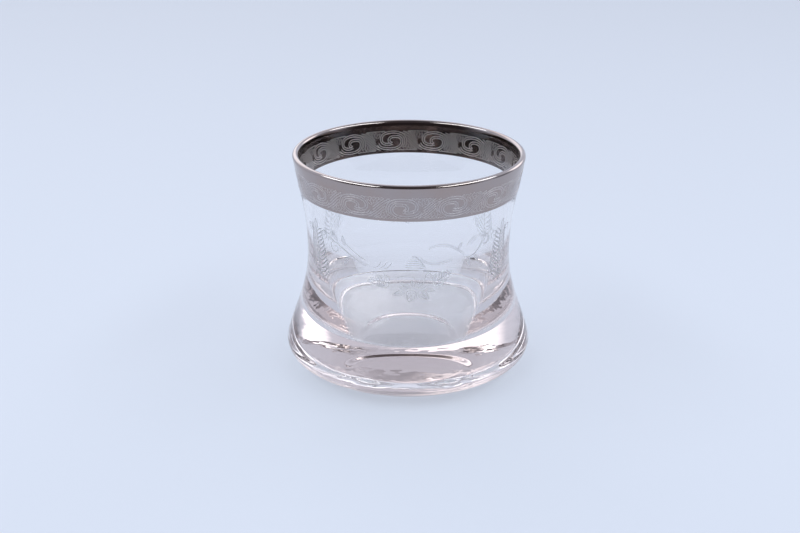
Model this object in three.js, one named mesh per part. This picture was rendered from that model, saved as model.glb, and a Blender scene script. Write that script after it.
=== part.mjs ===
// A heavy-based whisky tumbler: colourless glass with a platinum band and rim fired on to it.
// Millimetres, +Z up. The origin is the middle of the foot ring, on the surface that it stands on.
// Every piece is turned about Z from an outline of radius against height.
import * as THREE from "three";

// The outside: heights from the foot, and how far the rim and the heel stand out past the waist
const HEIGHT = 82;
const WAIST_RADIUS = 38.15;
const WAIST_HEIGHT = 45;
const RIM_OVERHANG = 4.65;
const FLARE_LENGTH = 17;
const HEEL_OVERHANG = 8.85;
const HEEL_HEIGHT = 8.2;
const HEEL_ROUND = 5.8;
const FLANK_LENGTH = 16;

// The foot ring, and the flat punt inside it, which ends in a step rounded at its top and bottom
const FOOT_INSET = 9;
const FOOT_ROUND = 0.8;
const FOOT_RING = 3;
const PUNT_DEPTH = 3;
const PUNT_ROUND = 2;

// The inside: a wall of even thickness that turns into a straight taper below the waist
const WALL = 2.2;
const TAPER = THREE.MathUtils.degToRad(4.6);
const FLOOR_HEIGHT = 17.6;
const FLOOR_CORNER = 0.9;

// The platinum, from the rim down. Its thickness is drawn far over the real film's.
const RIM_BAND_HEIGHT = 4.3;
const RIM_BAND_INSIDE = 1.1;
const FRIEZE_HEIGHT = 8;
const BORDER_HEIGHT = 0.9;
const PLATINUM = 0.12;

// Facets round the axis, and along each arc of an outline
const SIDES = 72;
const ARC_STEPS = 6;

const point = (radius, height) => new THREE.Vector2(radius, height);
const along = (angle, length) => point(Math.cos(angle), Math.sin(angle)).multiplyScalar(length);

// The bow that leaves the waist upright, leans out by an overhang over a rise, and ends in a
// straight stretch: its lean, and the radius of its arc.
function bow(overhang, rise, straight) {
  const lean = 2 * Math.atan2(overhang, rise + straight);
  return { lean, radius: (rise - straight * Math.cos(lean)) / Math.sin(lean) };
}

// The rim is a half round as thick as the wall, and the heel is a larger round.
const lipRound = WALL / 2;
const lipCentre = point(WAIST_RADIUS + RIM_OVERHANG - lipRound, HEIGHT - lipRound);
const heelCentre = point(WAIST_RADIUS + HEEL_OVERHANG - HEEL_ROUND, HEEL_HEIGHT);
const footRadius = WAIST_RADIUS + HEEL_OVERHANG - FOOT_INSET;
const puntRadius = footRadius - FOOT_RING;

// Each bow is worked out for the line through the middle of its round, and then set out from it.
const flare = bow(RIM_OVERHANG, lipCentre.y - WAIST_HEIGHT, FLARE_LENGTH);
const flank = bow(HEEL_OVERHANG, WAIST_HEIGHT - HEEL_HEIGHT, FLANK_LENGTH);
const upperCurve = flare.radius - lipRound;
const lowerCurve = flank.radius - HEEL_ROUND;
const upperCentre = point(WAIST_RADIUS + upperCurve, WAIST_HEIGHT);
const lowerCentre = point(WAIST_RADIUS + lowerCurve, WAIST_HEIGHT);

// The point of the straight flare at a height, and at a distance out from the glass
function onFlare(height, out = 0) {
  const tangent = lipCentre.clone().add(along(-flare.lean, lipRound + out));
  return point(tangent.x - (tangent.y - height) * Math.tan(flare.lean), height);
}

// Runs an outline up to a corner and rounds the corner off towards the next point.
function roundOff(outline, corner, next, radius) {
  const before = corner.clone().sub(outline.currentPoint);
  const after = next.clone().sub(corner);
  const turn = Math.asin(before.cross(after) / (before.length() * after.length()));
  const side = Math.sign(turn);
  const start = corner.clone().sub(before.setLength(radius * Math.tan(Math.abs(turn) / 2)));
  const heading = before.angle();
  const centre = start.clone().add(along(heading + (side * Math.PI) / 2, radius));
  const first = heading - (side * Math.PI) / 2;
  outline.absarc(centre.x, centre.y, radius, first, first + turn, side < 0);
}

function glassOutline() {
  const outline = new THREE.Path();

  // Punt, foot ring and the bevel that rises to the heel
  const up = Math.PI / 2;
  const step = Math.acos(1 - PUNT_DEPTH / (2 * PUNT_ROUND));
  const puntEdge = puntRadius - 2 * PUNT_ROUND * Math.sin(step);
  outline.moveTo(0, PUNT_DEPTH);
  outline.lineTo(puntEdge, PUNT_DEPTH);
  outline.absarc(puntEdge, PUNT_DEPTH - PUNT_ROUND, PUNT_ROUND, up, up - step, true);
  outline.absarc(puntRadius, PUNT_ROUND, PUNT_ROUND, -up - step, -up);
  const foot = point(footRadius, 0);
  const toHeel = heelCentre.clone().sub(foot);
  const bevel = toHeel.angle() - Math.asin(HEEL_ROUND / toHeel.length());
  const heelStart = bevel - Math.PI / 2;
  roundOff(outline, foot, heelCentre.clone().add(along(heelStart, HEEL_ROUND)), FOOT_ROUND);

  // Heel, flank, waist, flare and lip
  outline.absarc(heelCentre.x, heelCentre.y, HEEL_ROUND, heelStart, flank.lean);
  outline.absarc(lowerCentre.x, lowerCentre.y, lowerCurve, Math.PI + flank.lean, Math.PI, true);
  outline.absarc(upperCentre.x, upperCentre.y, upperCurve, Math.PI, Math.PI - flare.lean, true);
  outline.absarc(lipCentre.x, lipCentre.y, lipRound, -flare.lean, Math.PI - flare.lean);

  // Inside wall, its taper and the floor
  const inside = upperCurve + WALL;
  outline.absarc(upperCentre.x, upperCentre.y, inside, Math.PI - flare.lean, Math.PI - TAPER);
  const taperTop = outline.currentPoint;
  const wallFoot = point(taperTop.x - (taperTop.y - FLOOR_HEIGHT) * Math.tan(TAPER), FLOOR_HEIGHT);
  const floorMiddle = point(0, FLOOR_HEIGHT);
  roundOff(outline, wallFoot, floorMiddle, FLOOR_CORNER);
  outline.lineTo(floorMiddle.x, floorMiddle.y);
  return outline;
}

// The section of a film on the straight flare, between two heights
function bandOutline(bottom, top) {
  const corners = [onFlare(bottom), onFlare(bottom, PLATINUM), onFlare(top, PLATINUM), onFlare(top)];
  const outline = new THREE.Path(corners);
  outline.closePath();
  return outline;
}

// The film over the lip, from a height on the outside to a little way down the inside
function rimOutline(bottom) {
  const outline = new THREE.Path();
  const outerRound = lipRound + PLATINUM;
  const inward = Math.PI - flare.lean;
  const down = along(-Math.PI / 2 - flare.lean, RIM_BAND_INSIDE);
  const insideEnd = lipCentre.clone().add(along(inward, lipRound)).add(down);
  outline.moveTo(...onFlare(bottom));
  outline.lineTo(...onFlare(bottom, PLATINUM));
  outline.absarc(lipCentre.x, lipCentre.y, outerRound, -flare.lean, inward);
  outline.lineTo(...insideEnd.clone().add(along(inward, PLATINUM)));
  outline.lineTo(...insideEnd);
  outline.absarc(lipCentre.x, lipCentre.y, lipRound, inward, -flare.lean, true);
  outline.closePath();
  return outline;
}

function turned(name, outline, material) {
  const geometry = new THREE.LatheGeometry(outline.getPoints(ARC_STEPS / 2), SIDES);
  geometry.rotateX(Math.PI / 2);
  const mesh = new THREE.Mesh(geometry, material);
  mesh.name = name;
  return mesh;
}

const glass = new THREE.MeshStandardMaterial({
  color: 0xf4f6fa,
  roughness: 0.02,
  metalness: 0,
  transparent: true,
  opacity: 0.35,
});
const polishedPlatinum = new THREE.MeshStandardMaterial({
  color: 0xa9a5a6,
  roughness: 0.12,
  metalness: 1,
});
const etchedPlatinum = new THREE.MeshStandardMaterial({
  color: 0xb4b1b4,
  roughness: 0.4,
  metalness: 1,
});

const friezeTop = HEIGHT - RIM_BAND_HEIGHT;
const borderTop = friezeTop - FRIEZE_HEIGHT;

const tumbler = new THREE.Group();
tumbler.name = "whisky_tumbler";
tumbler.add(
  turned("glass_body", glassOutline(), glass),
  turned("platinum_rim", rimOutline(friezeTop), polishedPlatinum),
  turned("platinum_frieze", bandOutline(borderTop, friezeTop), etchedPlatinum),
  turned("platinum_border", bandOutline(borderTop - BORDER_HEIGHT, borderTop), polishedPlatinum),
);

export default tumbler;
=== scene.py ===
"""A waisted glass tumbler with a fired platinum band, on a pale studio floor."""
import math

import bpy
from mathutils import Euler, Matrix, Vector


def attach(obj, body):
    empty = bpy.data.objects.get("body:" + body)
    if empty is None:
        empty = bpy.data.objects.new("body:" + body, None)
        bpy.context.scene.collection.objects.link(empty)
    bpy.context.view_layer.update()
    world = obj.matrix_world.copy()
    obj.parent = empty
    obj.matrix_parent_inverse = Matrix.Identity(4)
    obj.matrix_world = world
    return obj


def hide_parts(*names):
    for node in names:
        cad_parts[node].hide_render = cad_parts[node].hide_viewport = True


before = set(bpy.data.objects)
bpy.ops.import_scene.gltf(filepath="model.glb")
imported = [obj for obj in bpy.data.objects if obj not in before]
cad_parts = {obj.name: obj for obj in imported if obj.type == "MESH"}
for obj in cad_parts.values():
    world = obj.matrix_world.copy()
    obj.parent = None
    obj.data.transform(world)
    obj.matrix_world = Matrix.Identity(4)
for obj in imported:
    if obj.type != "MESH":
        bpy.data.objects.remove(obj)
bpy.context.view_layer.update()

bl_info = {
    "name": "Whisky Tumbler",
    "version": (1, 0, 0),
    "blender": (4, 5, 0),
    "location": "3D View > Sidebar > Tumbler",
    "description": "Models a waisted glass tumbler with an etched platinum band",
    "category": "Add Mesh",
}

FULL_TURN = 2 * math.pi
UP = math.pi / 2
DOWN = -UP
MILLIMETRE = 0.001
SIDES = 192
SEAM = 0.000004

# The room's light below and above a soft edge, which runs between two elevations in degrees
ROOM_LOW = (0.66, 0.72, 0.86)
ROOM_HIGH = (0.09, 0.09, 0.10)
ROOM_EDGE = (30, 50)
# Places in it: azimuth from the camera's side, elevation, full and outer radius, and colour
ROOM_PLACES = (
    (180, 20, 38, 78, (0.80, 0.87, 1.03)),
    (180, -6, 10, 22, (0.50, 0.54, 0.64)),
    (0, 5, 55, 85, (0.08, 0.07, 0.08)),
    (102, 12, 8, 20, (0.28, 0.30, 0.36)),
    (134, 18, 7, 17, (2.50, 2.55, 2.70)),
    (-160, 24, 10, 26, (1.80, 1.85, 2.00)),
)

# The two lamps: degrees to each side and up, the point that they face, their size and colour
LAMP_SIDE = 72
LAMP_RISE = 50
LAMP_AIM = (0, 0, 0.06)
LAMP_SIZE = (1.0, 0.2)
LAMP_COLOUR = (0.84, 0.94, 1.0)

# The ring in the base is bump alone, set forward of the axis to suit the photograph's view.
# Its depth against its width, where its slope starts and ends (as the square of a share of its
# size), and its height against the base's soft unevenness. Both fade in from one height down
# to another.
CREASE_FLATNESS = 0.73
CREASE_SLOPE = (1.3, 0.8)
CREASE_WEIGHT = 4.0
BASE_MARKS_FADE = (0.012, 0.005)

# Sockets of a node that mixes colours: its two colours, and the result
MIX_FIRST, MIX_SECOND, MIX_RESULT = 6, 7, 2


# Sizes and colours that the sidebar shows

def length(name, description, default):
    return bpy.props.FloatProperty(
        name=name, description=description, default=default,
        subtype="DISTANCE", unit="LENGTH", precision=5,
    )


def degrees(name, description, default):
    return bpy.props.FloatProperty(
        name=name, description=description, default=math.radians(default),
        subtype="ANGLE", unit="ROTATION",
    )


def number(name, description, default, most=1000.0):
    return bpy.props.FloatProperty(
        name=name, description=description, default=default, min=0, max=most,
    )


def count(name, description, default, least):
    return bpy.props.IntProperty(name=name, description=description, default=default, min=least)


def shade(name, description, default):
    return bpy.props.FloatVectorProperty(
        name=name, description=description, default=default,
        subtype="COLOR", size=3, min=0, max=1,
    )


class TumblerGlass(bpy.types.PropertyGroup):
    """Outline of the glass, from the foot to the lip and down the inside"""
    height: length("Height", "From the foot to the top of the lip", 0.082)
    waist_radius: length("Waist radius", "At the narrowest height", 0.03815)
    waist_height: length("Waist height", "Height of the narrowest point", 0.045)
    rim_overhang: length("Rim overhang", "How far the rim stands out past the waist", 0.00465)
    flare_length: length("Flare length", "Straight stretch below the lip", 0.017)
    heel_overhang: length("Heel overhang", "How far the heel stands out past the waist", 0.00885)
    heel_height: length("Heel height", "Height of the widest point", 0.0082)
    heel_round: length("Heel round", "Radius of the heel", 0.0058)
    flank_length: length("Flank length", "Straight stretch above the heel", 0.016)
    foot_inset: length("Foot inset", "From the widest point in to the foot", 0.009)
    foot_round: length("Foot round", "Radius of the foot's outer edge", 0.0008)
    foot_ring: length("Foot ring", "Width of the ring that the tumbler stands on", 0.003)
    punt_depth: length("Punt depth", "Height of the hollow under the base", 0.003)
    punt_round: length("Punt round", "Radius at the top and bottom of its step", 0.002)
    wall: length("Wall", "Thickness of the wall above the waist", 0.0022)
    taper: degrees("Taper", "Lean of the inside wall below the waist", 4.6)
    floor_height: length("Floor height", "Height of the cup's floor", 0.0176)
    floor_corner: length("Floor corner", "Radius between the floor and the wall", 0.0009)
    crease: length("Crease", "Half the width of the ring that bump draws in the base", 0.0178)
    crease_front: length("Crease front", "From the axis to the middle of that ring", 0.0195)
    tint: shade("Tint", "Colour that light takes at each face of the glass", (1.0, 0.995, 0.995))
    depth_tint: shade("Depth tint", "Colour that light takes in thick glass", (0.62, 0.42, 0.36))
    depth_density: number("Depth density", "How fast thick glass takes its tint, per metre", 8.5)


class TumblerBand(bpy.types.PropertyGroup):
    """Platinum film round the rim, and the scroll etched in it"""
    rim_height: length("Rim band", "Plain film outside, below the top", 0.0043)
    rim_inside: length("Rim inside", "Plain film below the lip, inside", 0.0011)
    frieze_height: length("Frieze", "Film that carries the scroll", 0.008)
    border_height: length("Border", "Plain film below the scroll", 0.0009)
    film: length("Film", "How far the film stands out from the glass", 0.00006)
    contact: length("Contact", "How far the film reaches into the glass", 0.00003)
    volutes: count("Volutes", "Scrolls round the band", 15, 3)
    turned_by: degrees("Turned by", "Place of the first scroll, from the front", -2.5)
    stroke: length("Stroke", "Width of an etched line", 0.00048)
    relief: length("Relief", "Thickness of the etched lines", 0.00014)
    polished: shade("Polished", "Colour of the polished film", (0.41, 0.355, 0.34))
    reverse: shade("Reverse", "Colour of the film seen through the glass", (0.15, 0.125, 0.12))
    etched: shade("Etched", "Colour of the etched lines", (0.545, 0.50, 0.495))
    etched_reverse: shade("Etched reverse", "Colour of the lines seen inside", (0.98, 0.92, 0.90))


class TumblerGarland(bpy.types.PropertyGroup):
    """Garland cut in the clear wall"""
    stroke: length("Stroke", "Width of a cut line", 0.00034)
    relief: length("Relief", "Thickness of the cut lines", 0.0001)
    frost: shade("Frost", "Colour of a cut line", (0.94, 0.95, 0.97))


class TumblerStage(bpy.types.PropertyGroup):
    """Floor, backdrop, light and camera"""
    floor: shade("Floor", "Colour of the floor", (0.70, 0.73, 0.825))
    backdrop: shade("Backdrop", "Colour that the floor and backdrop show", (0.765, 0.83, 0.96))
    backdrop_strength: number("Backdrop strength", "How bright the backdrop shows", 0.86)
    floor_share: number("Floor share", "How much of the backdrop's colour the floor shows", 0.55, 1.0)
    light_turns: count("Light turns", "How often light may turn in the thick glass", 32, 8)
    lamp_power: number("Lamp power", "Of each lamp, in watts", 3.8)
    tilt: degrees("Camera tilt", "How steeply the camera looks down", 22.5)
    roll: degrees("Camera roll", "How far the camera leans to one side", 0.12)
    distance: length("Camera distance", "From the camera to the point that it looks at", 0.439)
    aim_height: length("Aim height", "Of the point that the camera looks at", 0.0355)
    aim_side: length("Aim side", "How far that point lies to the right of the axis", -0.0032)
    lens: bpy.props.FloatProperty(
        name="Lens", description="Focal length", default=51.5,
        subtype="DISTANCE_CAMERA", min=10,
    )


GROUPS = (
    (TumblerGlass, "tumbler_glass"),
    (TumblerBand, "tumbler_band"),
    (TumblerGarland, "tumbler_garland"),
    (TumblerStage, "tumbler_stage"),
)


# The outline, worked out from the sizes

def bow(overhang, rise, straight):
    """The lean and radius of a bow that leaves the waist upright and ends straight."""
    lean = 2 * math.atan2(overhang, rise + straight)
    return lean, (rise - straight * math.cos(lean)) / math.sin(lean)


def arc(centre, radius, start, end, spacing=0.001):
    """Points along an arc, about a spacing apart."""
    steps = max(6, round(abs(end - start) * radius / spacing))
    turns = [start + (end - start) * step / steps for step in range(steps + 1)]
    return [(centre[0] + radius * math.cos(a), centre[1] + radius * math.sin(a)) for a in turns]


class Outline:
    """Radius against height, in metres, of the glass and of the films on it."""

    def __init__(self, sizes):
        self.sizes = sizes
        self.lip_round = sizes.wall / 2
        rim = sizes.waist_radius + sizes.rim_overhang
        heel = sizes.waist_radius + sizes.heel_overhang
        self.lip = (rim - self.lip_round, sizes.height - self.lip_round)
        self.heel = (heel - sizes.heel_round, sizes.heel_height)
        self.foot = heel - sizes.foot_inset
        rise = self.lip[1] - sizes.waist_height
        self.flare_lean, flare_radius = bow(sizes.rim_overhang, rise, sizes.flare_length)
        drop = sizes.waist_height - sizes.heel_height
        self.flank_lean, flank_radius = bow(sizes.heel_overhang, drop, sizes.flank_length)
        self.upper = flare_radius - self.lip_round
        self.lower = flank_radius - sizes.heel_round
        self.upper_centre = (sizes.waist_radius + self.upper, sizes.waist_height)
        self.lower_centre = (sizes.waist_radius + self.lower, sizes.waist_height)

    def flare(self, height, out=0.0):
        """A point of the straight flare, and a distance out from the glass."""
        reach = self.lip_round + out
        across = self.lip[0] + reach * math.cos(self.flare_lean)
        up = self.lip[1] - reach * math.sin(self.flare_lean)
        return across - (up - height) * math.tan(self.flare_lean), height

    def wall(self, height):
        """The outside radius at a height between the flank and the lip."""
        above = height - self.sizes.waist_height
        if above > self.upper * math.sin(self.flare_lean):
            return self.flare(height)[0]
        if above > 0:
            return self.upper_centre[0] - math.sqrt(self.upper ** 2 - above ** 2)
        return self.lower_centre[0] - math.sqrt(self.lower ** 2 - above ** 2)

    def glass(self):
        """Punt, foot, heel, flank, waist, flare, lip, inside wall and floor."""
        sizes = self.sizes
        punt, soft = self.foot - sizes.foot_ring, sizes.punt_round
        step = math.acos(1 - sizes.punt_depth / (2 * soft))
        edge = punt - 2 * soft * math.sin(step)
        rings = 16
        points = [(edge * ring / rings, sizes.punt_depth) for ring in range(rings)]
        points += arc((edge, sizes.punt_depth - soft), soft, UP, UP - step, 0.0002)
        points += arc((punt, soft), soft, DOWN - step, DOWN, 0.0002)

        across, up = self.heel[0] - self.foot, self.heel[1]
        rise = math.atan2(up, across) - math.asin(sizes.heel_round / math.hypot(across, up))
        corner = self.foot - sizes.foot_round * math.tan(rise / 2)
        points += arc((corner, sizes.foot_round), sizes.foot_round, DOWN, DOWN + rise)
        points += arc(self.heel, sizes.heel_round, DOWN + rise, self.flank_lean, 0.0005)

        flank_end = math.pi + self.flank_lean
        points += arc(self.lower_centre, self.lower, flank_end, math.pi)
        flare_end = math.pi - self.flare_lean
        points += arc(self.upper_centre, self.upper, math.pi, flare_end)[1:]
        points += arc(self.lip, self.lip_round, -self.flare_lean, flare_end, 0.00025)

        inside = self.upper + sizes.wall
        points += arc(self.upper_centre, inside, flare_end, math.pi - sizes.taper)
        top = points[-1]
        slope = math.tan(sizes.taper)
        foot = top[0] - (top[1] - sizes.floor_height) * slope
        corner = sizes.floor_corner
        middle = foot + corner * (slope - 1 / math.cos(sizes.taper))
        centre = (middle, sizes.floor_height + corner)
        points += arc(centre, corner, -sizes.taper, DOWN, 0.0002)
        points.append((0, sizes.floor_height))
        return points

    def band(self, low, high, film, contact):
        """A closed section of film on the flare."""
        return [
            self.flare(low, -contact), self.flare(low, film),
            self.flare(high, film), self.flare(high, -contact), self.flare(low, -contact),
        ]

    def rim(self, low, down, film, contact):
        """A closed section of film from the flare over the lip and down inside."""
        flare_end = math.pi - self.flare_lean
        start = self.flare(low, -contact)
        points = [start, self.flare(low, film)]
        points += arc(self.lip, self.lip_round + film, -self.flare_lean, flare_end, 0.00025)
        away = (-math.sin(self.flare_lean) * down, -math.cos(self.flare_lean) * down)
        under = arc(self.lip, self.lip_round - contact, flare_end, -self.flare_lean, 0.00025)
        for edge in (points[-1], under[0]):
            points.append((edge[0] + away[0], edge[1] + away[1]))
        return points + under + [start]


# Modelling, step by step as by hand

def clear_selection():
    """Leaves edit mode with nothing selected."""
    if bpy.context.mode != "OBJECT":
        bpy.ops.object.mode_set(mode="OBJECT")
    bpy.ops.object.select_all(action="DESELECT")


def finish_mesh(name, smooth):
    """Closes the seams, turns the faces outwards and shades them smooth."""
    bpy.ops.mesh.select_all(action="SELECT")
    bpy.ops.mesh.remove_doubles(threshold=SEAM)
    bpy.ops.mesh.normals_make_consistent(inside=False)
    bpy.ops.object.mode_set(mode="OBJECT")
    bpy.ops.object.shade_smooth_by_angle(angle=math.radians(smooth))
    piece = bpy.context.object
    piece.name = name
    piece.data.name = name
    return piece


def turn(name, outline, smooth):
    """Extrudes an outline point by point and spins it about the tumbler's axis.

    Edges that turn by less than the smooth angle, in degrees, are shaded smooth.
    """
    clear_selection()
    place = Vector((outline[0][0], 0, outline[0][1]))
    bpy.ops.mesh.primitive_plane_add(size=0.001, location=place)
    bpy.ops.object.transform_apply(location=True)
    bpy.ops.object.mode_set(mode="EDIT")
    bpy.ops.mesh.merge(type="CENTER")
    for radius, height in outline[1:]:
        step = Vector((radius, 0, height)) - place
        if step.length > 0.000001:
            bpy.ops.mesh.extrude_vertices_move(TRANSFORM_OT_translate={"value": step})
            place += step
    bpy.ops.mesh.select_all(action="SELECT")
    bpy.ops.mesh.spin(steps=SIDES, angle=FULL_TURN, center=(0, 0, 0), axis=(0, 0, 1))
    return finish_mesh(name, smooth)


def lay_lines(name, strokes, surface, girth, width, relief, turned_by, repeats):
    """Draws strokes as flat ribbons, wraps them round a turned surface and repeats them."""
    clear_selection()
    bpy.ops.curve.primitive_nurbs_path_add(location=(0, 0, 0))
    curve = bpy.context.object.data
    curve.splines.clear()
    for stroke in strokes:
        spline = curve.splines.new("POLY")
        spline.points.add(len(stroke) - 1)
        for point, (across, height, weight) in zip(spline.points, stroke):
            point.co = (across, height, 0, 1)
            point.radius = weight
            point.tilt = UP
    curve.dimensions = "3D"
    curve.twist_mode = "Z_UP"
    curve.extrude = (width - relief) / 2
    curve.bevel_depth = relief / 2
    curve.bevel_resolution = 0
    curve.use_fill_caps = True
    bpy.ops.object.convert(target="MESH")
    # A ribbon keeps its full thickness where its stroke is thin
    for vertex in bpy.context.object.data.vertices:
        across, height, out = vertex.co
        angle = turned_by + across / girth
        radius = surface(height) + max(-relief / 2, min(relief / 2, out * 2))
        vertex.co = (radius * math.sin(angle), -radius * math.cos(angle), height)
    bpy.ops.object.mode_set(mode="EDIT")
    bpy.ops.mesh.select_all(action="SELECT")
    copies = repeats - 1
    if copies:
        bpy.ops.mesh.spin(
            steps=copies, dupli=True, angle=FULL_TURN * copies / repeats,
            center=(0, 0, 0), axis=(0, 0, 1),
        )
    return finish_mesh(name, 20)


# Strokes of the ornament: points across the surface, its height, and the line's weight

def tapered(points, weight=1.0, thin=0.5):
    """Gives a stroke full weight in the middle and thin ends."""
    last = len(points) - 1
    ends = [min(1, thin + 2.2 * min(i, last - i) / last) for i in range(last + 1)]
    return [(x, y, weight * end) for (x, y), end in zip(points, ends)]


def sweep(start, lift, pull, end, steps=14):
    """A curve from start to end, drawn towards two points on the way."""
    points = []
    for step in range(steps + 1):
        t = step / steps
        parts = ((1 - t) ** 3, 3 * t * (1 - t) ** 2, 3 * t * t * (1 - t), t ** 3)
        pairs = list(zip(parts, (start, lift, pull, end)))
        points.append(tuple(sum(part * spot[axis] for part, spot in pairs) for axis in (0, 1)))
    return points


def scroll(centre, outer, inner, start, end, stretch=1.0, steps=30):
    """A spiral that closes in from an outer to an inner radius between two angles."""
    points = []
    for step in range(steps + 1):
        t = step / steps
        angle = math.radians(start + (end - start) * t)
        radius = outer + (inner - outer) * t
        points.append((
            centre[0] + stretch * radius * math.cos(angle),
            centre[1] + radius * math.sin(angle),
        ))
    return points


def leaf(base, tip, width, bend=0.0, vein=True, steps=8):
    """The outline of a pointed leaf that may bend to one side, and its vein."""
    run = Vector((tip[0] - base[0], tip[1] - base[1]))
    side = Vector((-run.y, run.x)).normalized()

    def at(t, out):
        bow_out = bend * math.sin(math.pi * t)
        spread = out * width / 2 * math.sin(math.pi * t ** 0.8)
        return tuple(Vector(base) + run * t + side * (bow_out + spread))

    there = [at(step / steps, 1) for step in range(steps + 1)]
    back = [at(1 - step / steps, -1) for step in range(1, steps + 1)]
    strokes = [tapered(there + back)]
    if vein:
        strokes.append(tapered([at(0.12 + 0.66 * step / 5, 0) for step in range(6)], 0.8))
    return strokes


def petal(base, tip, width):
    """A round petal with two cuts along it."""
    run = Vector((tip[0] - base[0], tip[1] - base[1]))
    side = Vector((-run.y, run.x)).normalized() * width * 0.2
    strokes = leaf(base, tip, width * 1.2, vein=False)
    for flip in (1, -1):
        start = Vector(base) + run * 0.22 + side * flip
        end = Vector(base) + run * 0.88 + side * flip
        strokes += leaf(start, end, width * 0.3, vein=False, steps=5)
    return strokes


def frond(points, pairs, size, width, opening, start=0.15):
    """A stem with pairs of leaves that shrink towards its tip."""
    strokes = [tapered(points)]
    last = len(points) - 1
    for pair in range(pairs):
        t = start + (1 - start) * pair / pairs
        spot = points[round(t * last)]
        ahead = points[min(last, round(t * last) + 1)]
        heading = math.atan2(ahead[1] - spot[1], ahead[0] - spot[0])
        reach = size * (1 - 0.55 * pair / pairs)
        for side in (-1, 1):
            angle = heading + side * math.radians(opening)
            tip = (spot[0] + reach * math.cos(angle), spot[1] + reach * math.sin(angle))
            strokes += leaf(spot, tip, width, 0.12 * side * reach, vein=False, steps=6)
    return strokes + leaf(points[-1], extend(points, size * 0.5), width, vein=False, steps=6)


def extend(points, reach):
    """The point a reach past a curve's end, straight on."""
    run = Vector(points[-1]) - Vector(points[-2])
    return tuple(Vector(points[-1]) + run.normalized() * reach)


def placed(strokes, across=0.0, up=0.0):
    """Moves strokes drawn in millimetres to their place, in metres."""
    return [
        [((x + across) * MILLIMETRE, (y + up) * MILLIMETRE, weight) for x, y, weight in stroke]
        for stroke in strokes
    ]


def through(spots, steps=5):
    """A smooth curve through every spot."""
    ends = [spots[0], *spots, spots[-1]]
    points = [spots[0]]
    for a, b, c, d in zip(ends, ends[1:], ends[2:], ends[3:]):
        for step in range(1, steps + 1):
            t = step / steps
            points.append(tuple(
                b[n] + t / 2 * (c[n] - a[n] + t * (
                    2 * a[n] - 5 * b[n] + 4 * c[n] - d[n] + t * (3 * (b[n] - c[n]) + d[n] - a[n])
                )) for n in (0, 1)
            ))
    return points


def beside(points, reach):
    """The curve that runs beside another, a distance to its left."""
    moved = []
    for spot, (x, y) in enumerate(points):
        before, after = points[max(spot - 1, 0)], points[min(spot + 1, len(points) - 1)]
        run = math.hypot(after[0] - before[0], after[1] - before[1])
        moved.append((
            x - reach * (after[1] - before[1]) / run,
            y + reach * (after[0] - before[0]) / run,
        ))
    return moved


def frieze_strokes(pitch, half):
    """One volute and the stems and leaves up to the next, in millimetres about its middle."""
    over = through((
        (-5.6, -1.9), (-5.85, 0.0), (-4.8, 2.1), (-2.2, 3.15), (0.8, 3.2), (3.2, 2.5), (4.3, 0.9),
        (3.9, -0.6), (2.6, -1.35), (1.0, -1.5), (-0.5, -1.2),
    ))
    under = through((
        (5.75, -1.2), (4.4, -2.6), (1.6, -3.2), (-1.6, -3.1), (-3.7, -2.0), (-4.3, -0.2), (-3.3, 1.2),
        (-1.3, 1.5), (0.3, 1.2), (1.0, 0.3), (0.8, -0.6), (-0.1, -1.0),
    ))
    arm_gap, stem_gap = 0.4, 0.76
    strokes = []
    for arm in (over, under):
        for reach in (-arm_gap, arm_gap):
            strokes.append(tapered(beside(arm, reach), 1.0, 0.8))

    stem = through((
        (0.6, -3.4), (4.6, -2.9), (7.0, -1.5), (pitch / 2, 0),
        (pitch - 7.0, 1.5), (pitch - 4.6, 2.9), (pitch - 0.6, 3.4),
    ), 6)

    def in_gap(x, y):
        rings = [math.hypot((x - middle) / 6.6, y / 3.9) for middle in (0, pitch)]
        return abs(y) < half - 0.25 and min(rings) > 1

    for line in range(-2, 3):
        kept = [spot for spot in beside(stem, stem_gap * line) if in_gap(*spot)]
        if len(kept) > 3:
            strokes.append(tapered(kept, 1.0, 0.8))

    for flip in (1, -1):
        def spot(x, y):
            return pitch / 2 + flip * (x - pitch / 2), flip * y
        for base, tip, width in (
            ((6.2, 0.9), (4.6, 3.0), 1.0),
            ((6.6, 1.2), (6.2, 3.5), 1.1),
            ((7.2, 1.6), (8.0, 3.4), 1.1),
            ((8.2, 2.2), (9.8, 3.4), 0.9),
        ):
            for stroke in leaf(spot(*base), spot(*tip), width, vein=False, steps=6):
                strokes.append([(x, y, weight * 0.7) for x, y, weight in stroke])
        for lobe in range(6):
            edge = spot(3.1 + 1.35 * lobe, half - 0.75)
            angles = (175, 5) if flip > 0 else (-5, -175)
            strokes.append(tapered(scroll(edge, 0.6, 0.6, *angles, 1.1, 5), 0.7, 0.8))
    return strokes


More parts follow.
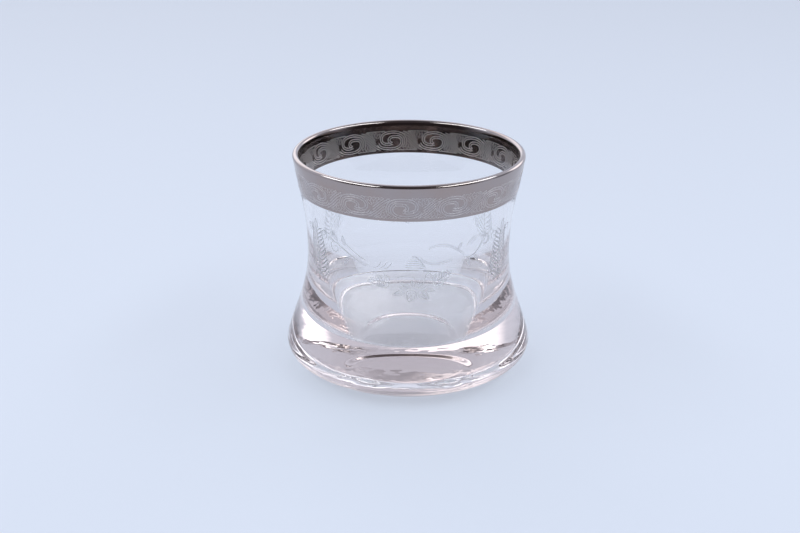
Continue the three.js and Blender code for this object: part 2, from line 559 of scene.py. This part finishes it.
def bouquet_strokes():
    """The hanging bouquet, with its petals, leaves, sprays and plume."""
    strokes = []
    for base, tip, width in (
        ((1.6, 42.4), (-0.2, 38.1), 3.2), ((3.2, 42.0), (7.0, 38.8), 2.5),
        ((-1.2, 41.9), (-5.9, 40.3), 1.7),
    ):
        strokes += petal(base, tip, width)
    for base, tip, width in (
        ((0.8, 43.0), (-3.4, 45.2), 1.3), ((-0.4, 42.7), (-3.6, 43.5), 1.0),
        ((1.8, 43.4), (0.8, 46.0), 1.2), ((2.6, 43.2), (5.8, 46.8), 1.5),
        ((3.2, 42.8), (6.8, 44.7), 1.2), ((5.6, 42.6), (9.2, 41.8), 1.1),
    ):
        strokes += leaf(base, tip, width)
    strokes.append(tapered(scroll((6.6, 47.6), 1.4, 0.4, -70, 330, steps=14)))
    strokes.append(tapered(sweep((-5.2, 46.2), (-3.0, 48.2), (1.0, 48.2), (3.0, 45.8))))
    for stem in (
        sweep((8.0, 44.4), (10.0, 45.6), (12.0, 46.6), (14.0, 47.6), 8),
        sweep((-6.2, 44.6), (-8.4, 45.4), (-10.8, 45.4), (-13.4, 44.8), 8),
    ):
        strokes += frond(stem, 5, 3.4, 1.2, 48)
    for row, reach in enumerate((3.0, 3.6, 3.5, 3.0, 2.4, 1.7, 1.0)):
        level = 49.6 + 0.84 * row
        strokes.append(tapered(sweep(
            (2.0 - reach, level + 0.7), (1.4 - 0.3 * reach, level), (2.4 + 0.3 * reach, level + 0.9),
            (2.3 + reach, level - 0.4), 8)))
    strokes.append(tapered(sweep((0.8, 55.0), (2.6, 55.6), (3.6, 53.6), (5.4, 51.2), 8)))
    return strokes


def festoon_strokes():
    """The scrolls that run from a bouquet to the palms on both sides of it."""
    strokes = []
    for drop in (0, 0.6):
        strokes.append(tapered(sweep(
            (3.8, 54.8 - drop), (6.6, 51.6 - drop), (10.6, 51.8 - drop), (15.4, 53.2 - drop))))
        strokes.append(tapered(sweep(
            (6.6, 57.6 + drop), (10.6, 60.0 + drop), (15.0, 58.4 + drop), (20.0, 53.8 + drop))))
        strokes.append(tapered(sweep(
            (20.0, 53.4 - drop), (23.0, 51.6), (27.0, 54.0), (27.4 + drop, 58.6))))
        strokes.append(tapered(sweep(
            (-14.6, 50.2 + drop), (-20.0, 51.0 + drop), (-24.0, 55.6), (-31.0, 57.6 + drop))))
    strokes.append(tapered(sweep((-15.6, 52.6), (-19.0, 53.6), (-21.6, 56.2), (-25.2, 58.4))))
    strokes.append(tapered(scroll((-28.4, 54.6), 2.4, 0.7, 100, 480, steps=20)))
    strokes.append(tapered(scroll((29.2, 57.4), 2.6, 0.8, 150, -240, steps=20)))
    strokes.append(tapered(scroll((29.2, 57.4), 2.0, 0.9, 140, -120, steps=14), 0.8))
    for reach in (0, 1, 2):
        strokes.append(tapered(sweep(
            (-12.8 + 1.9 * reach, 50.0), (-11.4 + 1.9 * reach, 50.2), (-10.4 + 1.9 * reach, 51.2),
            (-9.8 + 1.9 * reach, 52.8), 6)))
        strokes.append(tapered(sweep(
            (20.8 + 1.1 * reach, 57.4), (21.6 + 1.1 * reach, 58.6), (22.6 + 1.1 * reach, 59.6),
            (23.8 + 1.1 * reach, 60.6), 6)))
    for base, tip, width in (
        ((-24.0, 56.4), (-24.4, 60.2), 1.4), ((-27.0, 57.4), (-29.4, 60.6), 1.4),
        ((-22.4, 52.0), (-24.6, 49.2), 1.2), ((21.6, 52.6), (22.6, 49.4), 1.2),
        ((24.4, 53.2), (26.4, 50.4), 1.2), ((17.4, 56.6), (18.8, 59.0), 1.1),
    ):
        strokes += leaf(base, tip, width)
    return strokes


def palm_strokes():
    """The upright palm between two bouquets, in its own millimetres."""
    stem = sweep((0, 41.0), (0.5, 47), (-0.5, 53), (0, 59.0), 24)
    strokes = frond(stem, 12, 8.0, 1.7, 50, 0.02)
    strokes += leaf((0, 43.4), (0, 38.9), 1.8)
    for flip in (-1, 1):
        strokes += leaf((flip * 0.5, 43.2), (flip * 3.4, 39.8), 1.5)
        low = scroll((flip * 5.6, 44.4), 1.8, 0.5, 90 - flip * 90, 90 + flip * 300, steps=16)
        high = scroll((flip * 4.6, 58.4), 1.9, 0.5, -90, -90 + flip * 420, steps=16)
        strokes += [tapered(low), tapered(high)]
    return strokes


def garland_strokes(turned):
    """The garland round the wall, where a turned angle in degrees gives millimetres across."""
    strokes = placed(bouquet_strokes()) + placed(festoon_strokes())
    strokes += placed(bouquet_strokes(), across=turned(180))
    for angle in (58, 122, -58, -122):
        strokes += placed(palm_strokes(), across=turned(angle))
    bud = leaf((0, 46), (0, 53), 2.4) + petal((0, 45.6), (0, 41.4), 2.2)
    for angle in (90, -90):
        strokes += placed(bud, across=turned(angle))
    return strokes


# Materials

def add_node(tree, kind, values=None, **settings):
    """Adds a node, and sets its own settings and the values of its inputs."""
    node = tree.nodes.new(kind)
    for name, value in settings.items():
        setattr(node, name, value)
    set_inputs(node, values or {})
    return node


def set_inputs(node, values):
    for name, value in values.items():
        node.inputs[name].default_value = value


def reckon(tree, operation, *values):
    """The result of one sum, where each value is a socket or a number."""
    node = add_node(tree, "ShaderNodeMath", operation=operation)
    for socket, value in zip(node.inputs, values):
        if isinstance(value, bpy.types.NodeSocket):
            tree.links.new(value, socket)
        else:
            socket.default_value = value
    return node.outputs[0]


def ramp(tree, value, start, end, blend="LINEAR", least=0.0, most=1.0):
    """A value brought from the range between start and end to that between least and most."""
    node = add_node(tree, "ShaderNodeMapRange", {"From Min": start, "From Max": end})
    node.interpolation_type = blend
    set_inputs(node, {"To Min": least, "To Max": most})
    tree.links.new(value, node.inputs["Value"])
    return node.outputs["Result"]


def noise(tree, place, scale, detail, roughness=0.5):
    values = {"Scale": scale, "Detail": detail, "Roughness": roughness}
    node = add_node(tree, "ShaderNodeTexNoise", values)
    tree.links.new(place, node.inputs["Vector"])
    return node.outputs["Fac"]


def bump(tree, height, strength, distance):
    node = add_node(tree, "ShaderNodeBump", {"Strength": strength, "Distance": distance})
    tree.links.new(height, node.inputs["Height"])
    return node


def mixed(tree, share, first, second):
    """Goes over from one colour to another by a share. The first may be a socket."""
    node = add_node(tree, "ShaderNodeMix", data_type="RGBA")
    if isinstance(first, bpy.types.NodeSocket):
        tree.links.new(first, node.inputs[MIX_FIRST])
    else:
        node.inputs[MIX_FIRST].default_value = (*first, 1)
    node.inputs[MIX_SECOND].default_value = (*second, 1)
    tree.links.new(share, node.inputs["Factor"])
    return node.outputs[MIX_RESULT]


def handling_marks():
    """A group that gives soft smudges, and the height of fine wiping marks."""
    name = "handling_marks"
    if name in bpy.data.node_groups:
        return bpy.data.node_groups[name]
    tree = bpy.data.node_groups.new(name, "ShaderNodeTree")
    new_socket = tree.interface.new_socket
    new_socket("Vector", in_out="INPUT", socket_type="NodeSocketVector")
    for value in ("Smudge Scale", "Base Roughness", "Smudge"):
        new_socket(value, in_out="INPUT", socket_type="NodeSocketFloat")
    for value in ("Roughness", "Height"):
        new_socket(value, in_out="OUTPUT", socket_type="NodeSocketFloat")
    given = add_node(tree, "NodeGroupInput")
    made = add_node(tree, "NodeGroupOutput")
    link = tree.links.new
    cloud = add_node(tree, "ShaderNodeTexNoise", {"Detail": 4, "Roughness": 0.6, "Distortion": 0.8})
    link(given.outputs["Vector"], cloud.inputs["Vector"])
    link(given.outputs["Smudge Scale"], cloud.inputs["Scale"])
    patch = ramp(tree, cloud.outputs["Fac"], 0.48, 0.72, "SMOOTHSTEP")
    amount = reckon(tree, "MULTIPLY", patch, given.outputs["Smudge"])
    total = reckon(tree, "ADD", amount, given.outputs["Base Roughness"])
    link(total, made.inputs["Roughness"])
    squash = add_node(tree, "ShaderNodeMapping", {"Scale": (1, 1, 5)})
    link(given.outputs["Vector"], squash.inputs["Vector"])
    link(noise(tree, squash.outputs["Vector"], 900, 3), made.inputs["Height"])
    return tree


def start_material(name):
    """A new material with its shader, its marks group and its Object coordinates."""
    material = bpy.data.materials.new(name)
    material.use_nodes = True
    tree = material.node_tree
    shader = tree.nodes["Principled BSDF"]
    place = add_node(tree, "ShaderNodeTexCoord").outputs["Object"]
    marks = add_node(tree, "ShaderNodeGroup", node_tree=handling_marks())
    tree.links.new(place, marks.inputs["Vector"])
    tree.links.new(marks.outputs["Roughness"], shader.inputs["Roughness"])
    return material, tree, shader, place, marks


def clear_glass(sizes):
    """Thick glass that drifts and ripples a little, with marks low in its base."""
    material, tree, shader, place, marks = start_material("clear_glass")
    set_inputs(shader, {"IOR": 1.52, "Transmission Weight": 1.0})
    set_inputs(marks, {"Smudge Scale": 60, "Base Roughness": 0.0, "Smudge": 0.012})
    link = tree.links.new
    drift = noise(tree, place, 26, 2, 0.4)
    link(mixed(tree, drift, sizes.tint, (1, 1, 1)), shader.inputs["Base Color"])
    ripple = bump(tree, drift, 0.12, 0.0012)
    uneven = bump(tree, base_marks(tree, place, sizes), 1.0, 0.0002)
    link(ripple.outputs["Normal"], uneven.inputs["Normal"])
    link(uneven.outputs["Normal"], shader.inputs["Normal"])
    depth = add_node(tree, "ShaderNodeVolumeAbsorption", {"Density": sizes.depth_density})
    depth.inputs["Color"].default_value = (*sizes.depth_tint, 1)
    link(depth.outputs[0], tree.nodes["Material Output"].inputs["Volume"])
    return material


def base_marks(tree, place, sizes):
    """The bump height of the base's soft unevenness and of the ring drawn in its underside."""
    link = tree.links.new
    ring = add_node(tree, "ShaderNodeMapping", {
        "Location": (0, -sizes.crease_front, 0),
        "Scale": (sizes.crease, sizes.crease * CREASE_FLATNESS, 1),
    }, vector_type="TEXTURE")
    link(place, ring.inputs["Vector"])
    from_ring = add_node(tree, "ShaderNodeSeparateXYZ")
    link(ring.outputs["Vector"], from_ring.inputs[0])
    across = reckon(tree, "POWER", from_ring.outputs["X"], 2)
    along = reckon(tree, "POWER", from_ring.outputs["Y"], 2)
    slope = ramp(tree, reckon(tree, "ADD", across, along), *CREASE_SLOPE, "SMOOTHSTEP")
    cloud = noise(tree, place, 110, 2)
    both = reckon(tree, "MULTIPLY_ADD", slope, CREASE_WEIGHT, cloud)
    level = add_node(tree, "ShaderNodeSeparateXYZ")
    link(place, level.inputs[0])
    return reckon(tree, "MULTIPLY", both, ramp(tree, level.outputs["Z"], *BASE_MARKS_FADE))


def platinum(name, colour, warm, roughness, smudge, wiping=0.06, metallic=1):
    """Fired film: its tone drifts towards a warmer one, and it keeps wiping marks."""
    material, tree, shader, place, marks = start_material(name)
    shader.inputs["Metallic"].default_value = metallic
    set_inputs(marks, {"Smudge Scale": 140, "Base Roughness": roughness, "Smudge": smudge})
    patch = ramp(tree, noise(tree, place, 70, 3, 0.55), 0.4, 0.7)
    tree.links.new(mixed(tree, patch, colour, warm), shader.inputs["Base Color"])
    scratch = bump(tree, marks.outputs["Height"], wiping, 0.0001)
    tree.links.new(scratch.outputs["Normal"], shader.inputs["Normal"])
    return material


def warmer(colour, scales):
    """A film's second tone, with each part of the first one scaled."""
    return [part * scale for part, scale in zip(colour, scales)]


def frosted_line(colour):
    """Cut glass: rough and pale. It still lets light through, and is thin in places."""
    material, tree, shader, place, marks = start_material("frosted_line")
    set_inputs(shader, {"IOR": 1.3, "Transmission Weight": 1.0})
    set_inputs(marks, {"Smudge Scale": 400, "Base Roughness": 0.35, "Smudge": 0.1})
    link = tree.links.new
    grain = noise(tree, place, 500, 3, 0.6)
    link(mixed(tree, grain, colour, (1, 1, 1)), shader.inputs["Base Color"])
    link(ramp(tree, grain, 0.3, 0.6, least=0.92), shader.inputs["Alpha"])
    rough = bump(tree, grain, 0.4, 0.00005)
    link(rough.outputs["Normal"], shader.inputs["Normal"])
    return material


def seen_by_glass(tree):
    """One where a ray comes from the camera, or by way of gloss or glass."""
    path = add_node(tree, "ShaderNodeLightPath").outputs
    either = reckon(tree, "MAXIMUM", path["Is Camera Ray"], path["Is Glossy Ray"])
    return reckon(tree, "MAXIMUM", either, path["Is Transmission Ray"])


def floor_finish(stage):
    """A floor that takes shadows, and shows a share of the backdrop's own colour."""
    material = bpy.data.materials.new("studio_floor")
    material.use_nodes = True
    tree = material.node_tree
    link = tree.links.new
    shader = tree.nodes["Principled BSDF"]
    set_inputs(shader, {"Roughness": 0.6, "Specular IOR Level": 0.2})
    shader.inputs["Base Color"].default_value = (*stage.floor, 1)
    glow = add_node(tree, "ShaderNodeEmission", {"Color": (*stage.backdrop, 1)})
    mix = add_node(tree, "ShaderNodeMixShader")
    link(reckon(tree, "MULTIPLY", seen_by_glass(tree), stage.floor_share), mix.inputs[0])
    link(shader.outputs[0], mix.inputs[1])
    link(glow.outputs[0], mix.inputs[2])
    link(mix.outputs[0], tree.nodes["Material Output"].inputs["Surface"])
    return material


def direction(azimuth, elevation):
    """The direction at an angle round from the camera's side, and above the horizon."""
    turned, up = math.radians(azimuth), math.radians(elevation)
    return Vector((math.sin(turned) * math.cos(up), -math.cos(turned) * math.cos(up), math.sin(up)))


def room_light(stage):
    """A studio room: pale near the table, dim above, with soft light and dark places in it."""
    world = bpy.data.worlds.new("studio_room")
    bpy.context.scene.world = world
    world.use_nodes = True
    tree = world.node_tree
    link = tree.links.new
    place = add_node(tree, "ShaderNodeTexCoord").outputs["Generated"]
    height = add_node(tree, "ShaderNodeSeparateXYZ")
    link(place, height.inputs[0])
    low, high = (math.sin(math.radians(edge)) for edge in ROOM_EDGE)
    rise = ramp(tree, height.outputs["Z"], low, high, "SMOOTHSTEP")
    tone = mixed(tree, rise, ROOM_LOW, ROOM_HIGH)
    for azimuth, elevation, inner, outer, colour in ROOM_PLACES:
        towards = add_node(tree, "ShaderNodeVectorMath", operation="DOT_PRODUCT")
        towards.inputs[1].default_value = direction(azimuth, elevation)
        link(place, towards.inputs[0])
        far, near = math.cos(math.radians(outer)), math.cos(math.radians(inner))
        tone = mixed(tree, ramp(tree, towards.outputs["Value"], far, near, "SMOOTHSTEP"), tone, colour)
    room = tree.nodes["Background"]
    link(tone, room.inputs["Color"])
    backdrop = add_node(tree, "ShaderNodeBackground", {
        "Color": (*stage.backdrop, 1), "Strength": stage.backdrop_strength,
    })
    path = add_node(tree, "ShaderNodeLightPath")
    mix = add_node(tree, "ShaderNodeMixShader")
    link(path.outputs["Is Camera Ray"], mix.inputs[0])
    link(room.outputs[0], mix.inputs[1])
    link(backdrop.outputs[0], mix.inputs[2])
    link(mix.outputs[0], tree.nodes["World Output"].inputs["Surface"])


def hang_lamp(name, azimuth, power):
    """A long lamp a metre away, at an angle round from the camera's side."""
    place = direction(azimuth, LAMP_RISE)
    facing = (Vector(LAMP_AIM) - place).to_track_quat("-Z", "Y").to_euler()
    bpy.ops.object.light_add(type="AREA", location=place, rotation=facing)
    lamp = bpy.context.object
    lamp.name = name
    lamp.data.shape = "RECTANGLE"
    lamp.data.size, lamp.data.size_y = LAMP_SIZE
    lamp.data.energy = power
    lamp.data.color = LAMP_COLOUR


def set_camera(stage):
    """A camera that looks down at the tumbler from about where the photograph's stood."""
    place = (
        stage.aim_side,
        -stage.distance * math.cos(stage.tilt),
        stage.aim_height + stage.distance * math.sin(stage.tilt),
    )
    upright = Euler((UP - stage.tilt, 0, 0)).to_matrix()
    facing = (upright @ Matrix.Rotation(stage.roll, 3, "Z")).to_euler()
    bpy.ops.object.camera_add(location=place, rotation=facing)
    camera = bpy.context.object
    camera.name = "photo_camera"
    camera.data.sensor_width = 36
    camera.data.lens = stage.lens
    bpy.context.scene.camera = camera


def faces_inward(face):
    """True where a face looks towards the tumbler's axis."""
    return face.normal.x * face.center.x + face.normal.y * face.center.y < 0


def second_finish(piece, has_it):
    """Gives the chosen faces of a piece its second material."""
    bpy.ops.object.mode_set(mode="EDIT")
    bpy.ops.mesh.select_all(action="DESELECT")
    bpy.ops.object.mode_set(mode="OBJECT")
    for face in piece.data.polygons:
        face.select = has_it(face)
    bpy.ops.object.mode_set(mode="EDIT")
    bpy.context.object.active_material_index = 1
    bpy.ops.object.material_slot_assign()
    bpy.ops.object.mode_set(mode="OBJECT")


def stand_for(piece, node=None):
    """Hands a finished piece to the frame."""
    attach(piece, "root")
    if node:
        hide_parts(node)


# Operators, one for each piece or group of like pieces

class TUMBLER_OT_glass(bpy.types.Operator):
    """Turn the glass, from the punt under its base to the floor of the cup"""
    bl_idname = "tumbler.glass"
    bl_label = "Glass"

    def execute(self, context):
        sizes = context.scene.tumbler_glass
        body = turn("tumbler_glass", Outline(sizes).glass(), 35)
        body.data.materials.append(clear_glass(sizes))
        stand_for(body, "glass_body")
        return {"FINISHED"}


class TUMBLER_OT_film(bpy.types.Operator):
    """Turn the three bands of platinum film"""
    bl_idname = "tumbler.film"
    bl_label = "Platinum film"

    def execute(self, context):
        sizes = context.scene.tumbler_glass
        band = context.scene.tumbler_band
        outline = Outline(sizes)
        frieze_top = sizes.height - band.rim_height
        frieze_low = frieze_top - band.frieze_height
        border_low = frieze_low - band.border_height
        layer = (band.film, band.contact)
        warm = warmer(band.polished, (1.0, 0.93, 0.88))
        face = platinum("polished_film", band.polished, warm, 0.1, 0.1, 0.025)
        warm = warmer(band.reverse, (1.05, 0.85, 0.7))
        back = platinum("film_reverse", band.reverse, warm, 0.07, 0.02, 0.01)
        for name, node, slot, section in (
            ("rim_film", "platinum_rim", "polished_platinum",
             outline.rim(frieze_top, band.rim_inside, *layer)),
            ("frieze_film", "platinum_frieze", "etched_platinum",
             outline.band(frieze_low, frieze_top, *layer)),
            ("border_film", "platinum_border", "polished_platinum",
             outline.band(border_low, frieze_low, *layer)),
        ):
            film = turn(name, section, 30)
            film.data.materials.append(face)
            film.data.materials.append(back)
            self.mark_reverse(film, outline, sizes)
            stand_for(film, node)
        return {"FINISHED"}

    def mark_reverse(self, film, outline, sizes):
        """Gives the faces that lie against the glass the finish of the film's reverse."""
        def against_glass(face):
            across = math.hypot(face.center.x, face.center.y)
            if face.center.z > outline.lip[1]:
                offset = math.hypot(across - outline.lip[0], face.center.z - outline.lip[1])
                return offset < outline.lip_round
            return faces_inward(face) and across > outline.lip[0] - sizes.wall
        second_finish(film, against_glass)


class TUMBLER_OT_scroll(bpy.types.Operator):
    """Draw the running leaf scroll etched in the frieze"""
    bl_idname = "tumbler.scroll"
    bl_label = "Etched scroll"

    def execute(self, context):
        sizes = context.scene.tumbler_glass
        band = context.scene.tumbler_band
        outline = Outline(sizes)
        middle = sizes.height - band.rim_height - band.frieze_height / 2
        girth = outline.wall(middle)
        pitch = FULL_TURN * girth / band.volutes
        half = band.frieze_height / 2
        strokes = frieze_strokes(pitch / MILLIMETRE, half / MILLIMETRE)
        strokes = placed(strokes, up=middle / MILLIMETRE)
        depth = (band.film - band.contact) / 2
        lines = lay_lines(
            "etched_scroll", strokes, lambda height: outline.flare(height, depth)[0],
            girth, band.stroke, band.relief, band.turned_by, band.volutes,
        )
        for name, tone, metallic in (
            ("etched_film", band.etched, 1), ("etched_reverse", band.etched_reverse, 0),
        ):
            warm = warmer(tone, (1.0, 0.96, 0.92))
            finish = platinum(name, tone, warm, 0.42, 0.15, metallic=metallic)
            lines.data.materials.append(finish)
        second_finish(lines, faces_inward)
        stand_for(lines)
        return {"FINISHED"}


class TUMBLER_OT_garland(bpy.types.Operator):
    """Draw the garland cut in the clear wall below the band"""
    bl_idname = "tumbler.garland"
    bl_label = "Cut garland"

    def execute(self, context):
        sizes = context.scene.tumbler_glass
        garland = context.scene.tumbler_garland
        outline = Outline(sizes)
        girth = sizes.waist_radius
        strokes = garland_strokes(lambda angle: math.radians(angle) * girth / MILLIMETRE)
        lines = lay_lines(
            "cut_garland", strokes, outline.wall, girth, garland.stroke, garland.relief, 0.0, 1,
        )
        lines.data.materials.append(frosted_line(garland.frost))
        stand_for(lines)
        return {"FINISHED"}


class TUMBLER_OT_stage(bpy.types.Operator):
    """Set the floor, the room, the lamps and the camera"""
    bl_idname = "tumbler.stage"
    bl_label = "Stage"

    def execute(self, context):
        stage = context.scene.tumbler_stage
        clear_selection()
        bpy.ops.mesh.primitive_circle_add(vertices=96, radius=6, fill_type="NGON")
        floor = context.object
        floor.name = "studio_floor"
        floor.data.materials.append(floor_finish(stage))
        room_light(stage)
        hang_lamp("lamp_left", -LAMP_SIDE, stage.lamp_power)
        hang_lamp("lamp_right", LAMP_SIDE, stage.lamp_power)
        set_camera(stage)
        context.scene.view_settings.view_transform = "Standard"
        light = context.scene.cycles
        light.max_bounces = stage.light_turns
        light.glossy_bounces = stage.light_turns
        light.transmission_bounces = stage.light_turns
        return {"FINISHED"}


class TUMBLER_PT_sidebar(bpy.types.Panel):
    """Sizes, colours and the steps that build the tumbler"""
    bl_idname = "TUMBLER_PT_sidebar"
    bl_label = "Tumbler"
    bl_space_type = "VIEW_3D"
    bl_region_type = "UI"
    bl_category = "Tumbler"

    def draw(self, context):
        for group, name in GROUPS:
            box = self.layout.box()
            box.label(text=group.__doc__)
            for prop in group.__annotations__:
                box.prop(getattr(context.scene, name), prop)
        for step in STEPS:
            self.layout.operator(step.bl_idname)


STEPS = (
    TUMBLER_OT_glass,
    TUMBLER_OT_film,
    TUMBLER_OT_scroll,
    TUMBLER_OT_garland,
    TUMBLER_OT_stage,
)


def register():
    for group, name in GROUPS:
        bpy.utils.register_class(group)
        setattr(bpy.types.Scene, name, bpy.props.PointerProperty(type=group))
    for step in STEPS:
        bpy.utils.register_class(step)
    bpy.utils.register_class(TUMBLER_PT_sidebar)


def unregister():
    bpy.utils.unregister_class(TUMBLER_PT_sidebar)
    for step in reversed(STEPS):
        bpy.utils.unregister_class(step)
    for group, name in reversed(GROUPS):
        delattr(bpy.types.Scene, name)
        bpy.utils.unregister_class(group)


def main():
    register()
    bpy.ops.tumbler.glass()
    bpy.ops.tumbler.film()
    bpy.ops.tumbler.scroll()
    bpy.ops.tumbler.garland()
    bpy.ops.tumbler.stage()


if __name__ == "__main__":
    main()
